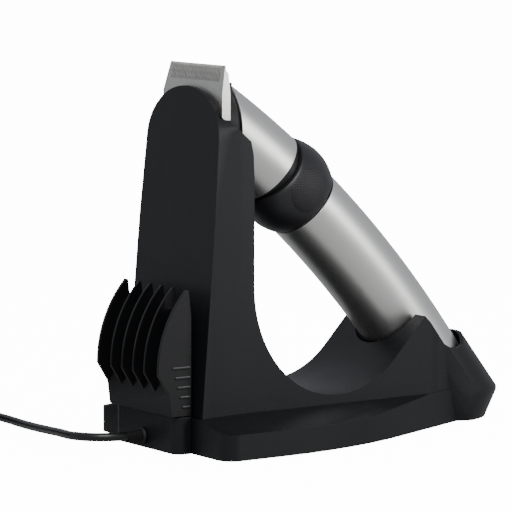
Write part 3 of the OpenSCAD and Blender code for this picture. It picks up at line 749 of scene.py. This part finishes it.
@dataclass
class SwitchRing:
    """The bellied twist ring with its two oval finger pads."""

    at: float = 121.5
    half: float = 11.2
    inner: float = 16.1
    edge: float = 18.1
    rise: float = 2.61
    pad: tuple[float, float] = (11.4, 9.0)

    def belly(self, height: float) -> float:
        """The ring's outer radius at a height over its middle."""
        return self.edge + self.rise * (1.0 - (height / (self.half - 0.7)) ** 2)

    def ring(self) -> Piece:
        """Turns the ring and scallops its upper end at the sides."""
        end = self.half - 0.1
        section = [(self.inner, -end), (self.edge - 0.8, -end), (self.edge - 0.25, -end + 0.15)]
        section += [(self.belly(h), h) for h in [end * t / 12 * 0.945 for t in range(-12, 13)]]
        section += [(self.edge - 0.25, end - 0.15), (self.edge - 0.8, end), (self.inner, end)]
        piece = turned("twist_ring", section, Matrix.Identity(4), 128)
        for vertex in piece.data.vertices:
            x, y, z = vertex.co
            around = math.atan2(y, x)
            upper = max(z / (end * MM), 0.0)
            lift = 0.9 * max(math.cos(around), 0.0) ** 2 - 2.2 * math.sin(around) ** 2
            vertex.co.z += lift * upper**2 * MM
        piece.data.transform(BEND.place(self.at))
        shade(piece, 40.0)
        return hand_over(piece, "switch_ring", RING_NYLON, "ring_plastic", "switch_ring")

    def pads(self) -> Piece:
        """Shapes two oval pads on the belly."""
        made = []
        for side in Side:
            deselect_all()
            bpy.ops.mesh.primitive_grid_add(x_subdivisions=28, y_subdivisions=28, size=2.0)
            piece = bpy.context.object
            for vertex in piece.data.vertices:
                u, v = vertex.co.x, vertex.co.y
                across = u * math.sqrt(1.0 - v * v / 2.0)
                along = v * math.sqrt(1.0 - u * u / 2.0)
                height = along * self.pad[1] - 0.8
                dome = 0.5 * (1.0 - (across**2 + along**2) ** 4) - 0.12
                radius = self.belly(height) + dome
                angle = side.value * math.pi / 2 + across * self.pad[0] / radius
                vertex.co = (
                    radius * math.cos(angle) * MM, radius * math.sin(angle) * MM, height * MM
                )
            face = piece.data.polygons[0]
            if face.normal.dot(Vector((face.center.x, face.center.y, 0.0))) < 0.0:
                piece.data.flip_normals()
            modify(piece, "SOLIDIFY", thickness=0.9 * MM, offset=-1.0)
            piece.data.transform(BEND.place(self.at))
            made.append(piece)
        piece = join("finger_pads", made)
        shade(piece, 50.0)
        return hand_over(piece, "switch_ring", PAD_RUBBER, "pad_rubber", "grip_pads")

    def build(self) -> None:
        """Builds the ring and its pads."""
        self.ring()
        self.pads()


@dataclass
class GuideComb:
    """The guide comb on its block."""

    rounding: float = 0.18

    front: float = 7.255
    low: float = 17.3
    side: float = 25.0
    pitch: float = 4.2

    def marks(self) -> Piece:
        """Raised length marks on both cheeks, painted paler than the comb as a painted highlight."""
        made = []
        for side in Side:
            for i in range(5):
                length = 4.0 + 1.2 * i
                deselect_all()
                bpy.ops.mesh.primitive_cube_add(size=1.0)
                piece = bpy.context.object
                for vertex in piece.data.vertices:
                    vertex.co.x *= length * MM
                    vertex.co.y *= 0.9 * MM
                    vertex.co.z *= 0.8 * MM
                middle = spot(
                    self.front - 0.8 - length / 2, side.value * self.side,
                    self.low + 4.15 + i * self.pitch,
                )
                piece.data.transform(Matrix.Translation(middle))
                made.append(piece)
        piece = join("length_marks", made)
        soften(piece, 0.2, 2, 30.0)
        # The paler finish is a painted highlight on the raised marks.
        return hand_over(piece, "guide_comb", PAINTED_HIGHLIGHT_NYLON, "comb_plastic")

    def build(self) -> None:
        """Rounds the comb's edges."""
        piece = merged_copy("guide_comb", "slotted_comb")
        soften(piece, self.rounding, 2, 30.0)
        hand_over(piece, "guide_comb", COMB_NYLON, "comb_plastic", "guide_comb")
        self.marks()


@dataclass
class PlainParts:
    """CAD nodes whose shape is right and which only need their finish."""

    finishes: dict[str, Finish] = field(
        default_factory=lambda: {
            "base_cover": BLACK_ABS, "neck_saddle": BLACK_ABS, "contact_block": BLACK_ABS,
            "contact_pins": GOLD, "charge_board": BOARD, "base_weight": IRON, "cover_screws": ZINC,
            "rubber_feet": RUBBER, "inner_lead": CABLE_PVC, "core_tube": BLACK_ABS, "end_cap": BLACK_ABS,
            "end_contacts": GOLD, "end_seal": RUBBER, "battery_cells": SLEEVE, "main_board": BOARD,
            "motor": MOTOR_STEEL, "motor_bracket": BLACK_ABS, "blade_screws": ZINC, "blade_spring": ZINC,
            "switch_wiper": ZINC, "cutter_yoke": ACETAL, "motor_shaft": MOTOR_STEEL, "eccentric": ACETAL,
        }
    )

    def build(self) -> None:
        """Dresses each node."""
        for node, finish in self.finishes.items():
            dress(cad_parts[node], finish)
            LOG.info("%s in %s", node, finish.name)


@dataclass
class Studio:
    """The camera, the pale floor and the soft lights."""

    camera_at: tuple[float, float, float] = (-791.7, -1258.33, 252.96)
    azimuth: float = 56.0
    pitch: float = 6.5
    lens: float = 246.09
    glow: float = 16.0
    room: float = 0.55
    backdrop: float = 20.0

    def camera(self) -> None:
        """Sets the camera."""
        turn, dip = math.radians(self.azimuth), math.radians(self.pitch)
        flat = math.cos(dip)
        look = Vector((math.cos(turn) * flat, math.sin(turn) * flat, -math.sin(dip)))
        deselect_all()
        bpy.ops.object.camera_add(
            location=spot(*self.camera_at), rotation=look.to_track_quat("-Z", "Y").to_euler()
        )
        camera = bpy.context.object
        camera.data.lens = self.lens
        camera.data.sensor_width = 36.0
        bpy.context.scene.camera = camera

    def light(self, name: str, at: tuple[float, float, float], size: float, power: float) -> None:
        """Hangs one soft square light that faces the stand.

        Args:
            name: Its name.
            at: Its place in metres.
            size: Its side in metres.
            power: Its power in watts.
        """
        deselect_all()
        look = Vector((0.0, 0.0, 0.08)) - Vector(at)
        bpy.ops.object.light_add(
            type="AREA", location=at, rotation=look.to_track_quat("-Z", "Y").to_euler()
        )
        lamp = bpy.context.object
        lamp.name = name
        lamp.data.shape = "SQUARE"
        lamp.data.size = size
        lamp.data.energy = power

    def paper(self) -> bpy.types.Material:
        """White paper that is lit from behind, so that it stays white without lighting the object."""
        material = bpy.data.materials.new("backlit_paper")
        material.use_nodes = True
        tree = material.node_tree
        tree.nodes.clear()
        seen = add_node(tree, "ShaderNodeLightPath", {}).outputs["Is Camera Ray"]
        grain = add_node(tree, "ShaderNodeTexNoise", {"Scale": 2.0}).outputs["Fac"]
        tint = add_node(
            tree,
            "ShaderNodeMix",
            {"Factor": grain, "A": linear("#f2f2f2"), "B": linear("#ececec")},
            data_type="RGBA",
        ).outputs["Result"]
        glow = add_node(tree, "ShaderNodeEmission", {"Color": tint, "Strength": self.glow})
        lit = add_node(tree, "ShaderNodeBsdfDiffuse", {"Color": tint})
        dull = add_node(tree, "ShaderNodeBsdfDiffuse", {"Color": linear("#bcbcbc")})
        bright = add_node(
            tree, "ShaderNodeAddShader", {0: glow.outputs["Emission"], 1: lit.outputs["BSDF"]}
        )
        mix = add_node(
            tree,
            "ShaderNodeMixShader",
            {0: seen, 1: dull.outputs["BSDF"], 2: bright.outputs["Shader"]},
        )
        add_node(tree, "ShaderNodeOutputMaterial", {"Surface": mix.outputs["Shader"]})
        return material

    def floor(self) -> None:
        """Lays the pale floor."""
        deselect_all()
        bpy.ops.mesh.primitive_plane_add(size=12.0, location=(0.0, 0.0, -0.0002))
        floor = bpy.context.object
        floor.name = "floor"
        floor.data.materials.append(self.paper())

    def world(self) -> None:
        """Lights the room evenly, with a white backdrop."""
        world = bpy.data.worlds.new("studio")
        bpy.context.scene.world = world
        world.use_nodes = True
        tree = world.node_tree
        tree.nodes.clear()
        seen = add_node(tree, "ShaderNodeLightPath", {}).outputs["Is Camera Ray"]
        strength = add_node(
            tree,
            "ShaderNodeMix",
            {"Factor": seen, "A": self.room, "B": self.backdrop},
            data_type="FLOAT",
        ).outputs["Result"]
        back = add_node(
            tree, "ShaderNodeBackground", {"Color": linear("#f4f8ff"), "Strength": strength}
        )
        add_node(tree, "ShaderNodeOutputWorld", {"Surface": back.outputs["Background"]})

    def build(self) -> None:
        """Sets up the studio."""
        self.camera()
        self.floor()
        self.world()
        self.light("key", (-0.9, -1.1, 1.5), 0.9, 30.0)
        self.light("side", (0.8, -1.15, 0.42), 0.75, 9.0)


def main() -> None:
    """Builds the studio, the lead and each sub-assembly in order."""
    logging.basicConfig(level=logging.INFO, format="%(message)s")
    Studio().build()
    builders: Sequence[Callable[[], None]] = (
        Lead().build, Stand().build, Clipper().build, SwitchRing().build, GuideComb().build,
        PlainParts().build,
    )
    for build in builders:
        build()


if __name__ == "__main__":
    main()
